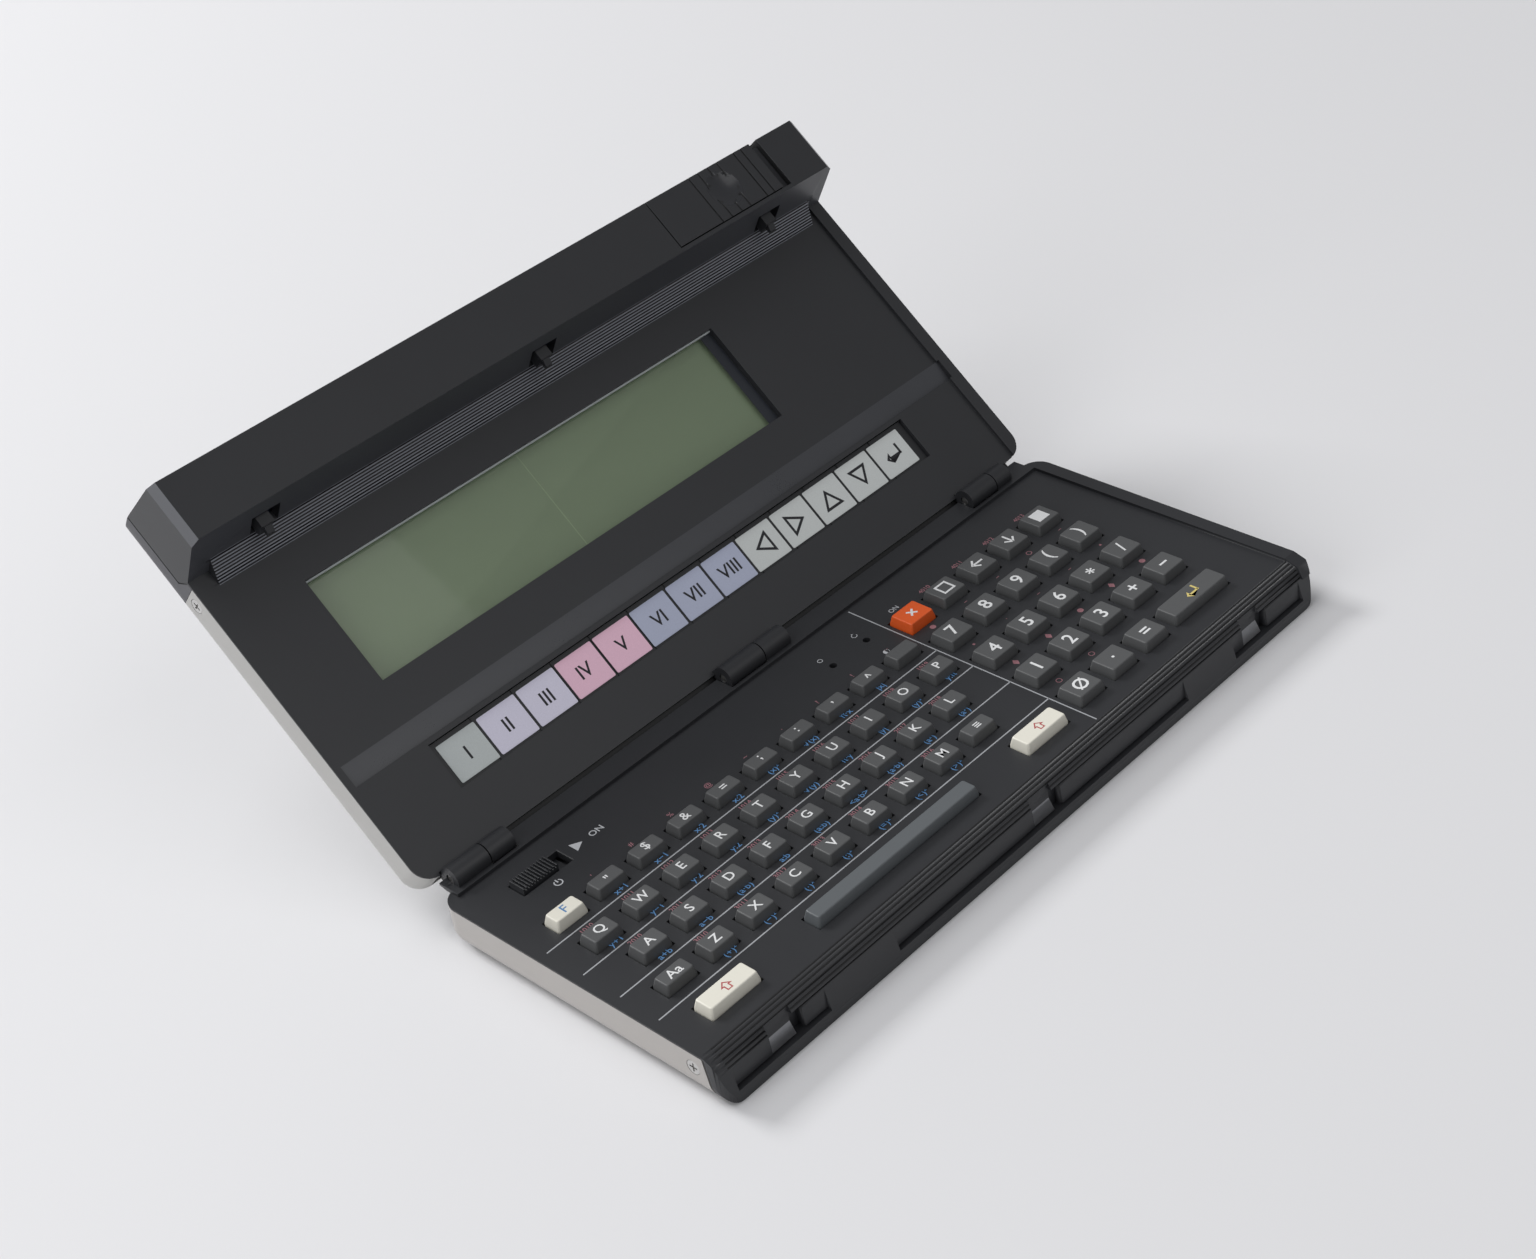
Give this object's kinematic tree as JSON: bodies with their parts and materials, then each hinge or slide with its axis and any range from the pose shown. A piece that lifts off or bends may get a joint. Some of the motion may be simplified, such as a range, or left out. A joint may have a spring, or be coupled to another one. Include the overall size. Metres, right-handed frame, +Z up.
{
  "type": "clamshell pocket computer",
  "caption": "Folding pocket computer: a keyboard half hinged to a lid with a display window, a strip of touch keys and a raised battery ridge with a sliding latch.",
  "frame": {"origin": "on the flat underside of the keyboard half, midway along its length and midway between its front lip and the hinge axis", "axes": "+X along the hinge to the user's right, +Y from the front of the keyboard towards the hinge, +Z up from the table"},
  "size_m": [0.187, 0.1604, 0.0848],
  "materials": {
    "board_green": "matte",
    "body_black": "satin",
    "cell_wrap": "satin",
    "chip_black": "matte",
    "cover_aluminium": "satin",
    "cover_steel": "satin",
    "display": "gloss",
    "housing_grey": "satin",
    "key_cream": "satin",
    "key_grey": "satin",
    "key_orange": "satin",
    "key_slate": "satin",
    "pane": "gloss",
    "rubber_grey": "matte",
    "steel": "satin",
    "strip_grey": "gloss"
  },
  "bodies": {
    "base": {"base_cover": "cover_steel", "base_panel": "body_black", "base_side_screws": "steel", "board_chips": "chip_black", "hinge_pins": "steel", "key_mat": "rubber_grey", "main_board": "board_green", "power_switch": "chip_black", "shield_plate": "steel"},
    "lid": {"battery_cells": "cell_wrap", "battery_contacts": "steel", "display_module": "display", "lid_board": "board_green", "lid_chips": "chip_black", "lid_cover": "cover_aluminium", "lid_frame": "body_black", "lid_side_screws": "steel", "lid_spacers": "body_black", "ridge_housing": "housing_grey", "touch_strip": "strip_grey", "window_pane": "pane"},
    "latch": {"latch_bar": "body_black", "latch_slider": "body_black"},
    "door": {"battery_door": "housing_grey"},
    "knob": {"power_knob": "body_black"},
    "press_key_0": {"key_0": "key_grey"},
    "press_key_1": {"key_1": "key_grey"},
    "press_key_2": {"key_2": "key_grey"},
    "press_key_3": {"key_3": "key_grey"},
    "press_key_4": {"key_4": "key_grey"},
    "press_key_5": {"key_5": "key_grey"},
    "press_key_6": {"key_6": "key_grey"},
    "press_key_7": {"key_7": "key_grey"},
    "press_key_8": {"key_8": "key_grey"},
    "press_key_9": {"key_9": "key_grey"},
    "press_key_break": {"key_break": "key_orange"},
    "press_key_caps": {"key_caps": "key_grey"},
    "press_key_execute": {"key_execute": "key_grey"},
    "press_key_f": {"key_f": "key_cream"},
    "press_key_mode": {"key_mode": "key_grey"},
    "press_key_shift_left": {"key_shift_left": "key_cream"},
    "press_key_shift_right": {"key_shift_right": "key_cream"},
    "press_key_space": {"key_space": "key_slate"},
    "press_keys_bottom_letters": {"keys_bottom_letters": "key_grey"},
    "press_keys_edit": {"keys_edit": "key_grey"},
    "press_keys_middle_letters": {"keys_middle_letters": "key_grey"},
    "press_keys_operators": {"keys_operators": "key_grey"},
    "press_keys_symbols": {"keys_symbols": "key_grey"},
    "press_keys_top_letters": {"keys_top_letters": "key_grey"}
  },
  "joints": [
    {"name": "lid_hinge", "type": "hinge", "parent": "base", "child": "lid", "pos_m": [0, 0.0398, 0.012], "axis": [1, 0, 0], "range_deg": [-41.4, 138.6]},
    {"name": "latch_slide", "type": "slide", "parent": "lid", "child": "latch", "axis": [1, 0, 0], "range_m": [0, 0.0022]},
    {"name": "power_slide", "type": "slide", "parent": "base", "child": "knob", "axis": [1, 0, 0], "range_m": [0, 0.0032]},
    {"name": "door_slide", "type": "slide", "parent": "lid", "child": "door", "axis": [0, 0.7501, 0.6613], "range_m": [0, 0.012]},
    {"name": "key_0_press", "type": "slide", "parent": "base", "child": "press_key_0", "axis": [0, 0, -1], "range_m": [0, 0.0009], "stiffness_N_per_m": 300},
    {"name": "key_1_press", "type": "slide", "parent": "base", "child": "press_key_1", "axis": [0, 0, -1], "range_m": [0, 0.0009], "stiffness_N_per_m": 300},
    {"name": "key_2_press", "type": "slide", "parent": "base", "child": "press_key_2", "axis": [0, 0, -1], "range_m": [0, 0.0009], "stiffness_N_per_m": 300},
    {"name": "key_3_press", "type": "slide", "parent": "base", "child": "press_key_3", "axis": [0, 0, -1], "range_m": [0, 0.0009], "stiffness_N_per_m": 300},
    {"name": "key_4_press", "type": "slide", "parent": "base", "child": "press_key_4", "axis": [0, 0, -1], "range_m": [0, 0.0009], "stiffness_N_per_m": 300},
    {"name": "key_5_press", "type": "slide", "parent": "base", "child": "press_key_5", "axis": [0, 0, -1], "range_m": [0, 0.0009], "stiffness_N_per_m": 300},
    {"name": "key_6_press", "type": "slide", "parent": "base", "child": "press_key_6", "axis": [0, 0, -1], "range_m": [0, 0.0009], "stiffness_N_per_m": 300},
    {"name": "key_7_press", "type": "slide", "parent": "base", "child": "press_key_7", "axis": [0, 0, -1], "range_m": [0, 0.0009], "stiffness_N_per_m": 300},
    {"name": "key_8_press", "type": "slide", "parent": "base", "child": "press_key_8", "axis": [0, 0, -1], "range_m": [0, 0.0009], "stiffness_N_per_m": 300},
    {"name": "key_9_press", "type": "slide", "parent": "base", "child": "press_key_9", "axis": [0, 0, -1], "range_m": [0, 0.0009], "stiffness_N_per_m": 300},
    {"name": "key_break_press", "type": "slide", "parent": "base", "child": "press_key_break", "axis": [0, 0, -1], "range_m": [0, 0.0009], "stiffness_N_per_m": 300},
    {"name": "key_caps_press", "type": "slide", "parent": "base", "child": "press_key_caps", "axis": [0, 0, -1], "range_m": [0, 0.0009], "stiffness_N_per_m": 300},
    {"name": "key_execute_press", "type": "slide", "parent": "base", "child": "press_key_execute", "axis": [0, 0, -1], "range_m": [0, 0.0009], "stiffness_N_per_m": 300},
    {"name": "key_f_press", "type": "slide", "parent": "base", "child": "press_key_f", "axis": [0, 0, -1], "range_m": [0, 0.0009], "stiffness_N_per_m": 300},
    {"name": "key_mode_press", "type": "slide", "parent": "base", "child": "press_key_mode", "axis": [0, 0, -1], "range_m": [0, 0.0009], "stiffness_N_per_m": 300},
    {"name": "key_shift_left_press", "type": "slide", "parent": "base", "child": "press_key_shift_left", "axis": [0, 0, -1], "range_m": [0, 0.0009], "stiffness_N_per_m": 300},
    {"name": "key_shift_right_press", "type": "slide", "parent": "base", "child": "press_key_shift_right", "axis": [0, 0, -1], "range_m": [0, 0.0009], "stiffness_N_per_m": 300},
    {"name": "key_space_press", "type": "slide", "parent": "base", "child": "press_key_space", "axis": [0, 0, -1], "range_m": [0, 0.0009], "stiffness_N_per_m": 300},
    {"name": "keys_bottom_letters_press", "type": "slide", "parent": "base", "child": "press_keys_bottom_letters", "axis": [0, 0, -1], "range_m": [0, 0.0009], "stiffness_N_per_m": 300},
    {"name": "keys_edit_press", "type": "slide", "parent": "base", "child": "press_keys_edit", "axis": [0, 0, -1], "range_m": [0, 0.0009], "stiffness_N_per_m": 300},
    {"name": "keys_middle_letters_press", "type": "slide", "parent": "base", "child": "press_keys_middle_letters", "axis": [0, 0, -1], "range_m": [0, 0.0009], "stiffness_N_per_m": 300},
    {"name": "keys_operators_press", "type": "slide", "parent": "base", "child": "press_keys_operators", "axis": [0, 0, -1], "range_m": [0, 0.0009], "stiffness_N_per_m": 300},
    {"name": "keys_symbols_press", "type": "slide", "parent": "base", "child": "press_keys_symbols", "axis": [0, 0, -1], "range_m": [0, 0.0009], "stiffness_N_per_m": 300},
    {"name": "keys_top_letters_press", "type": "slide", "parent": "base", "child": "press_keys_top_letters", "axis": [0, 0, -1], "range_m": [0, 0.0009], "stiffness_N_per_m": 300}
  ]
}
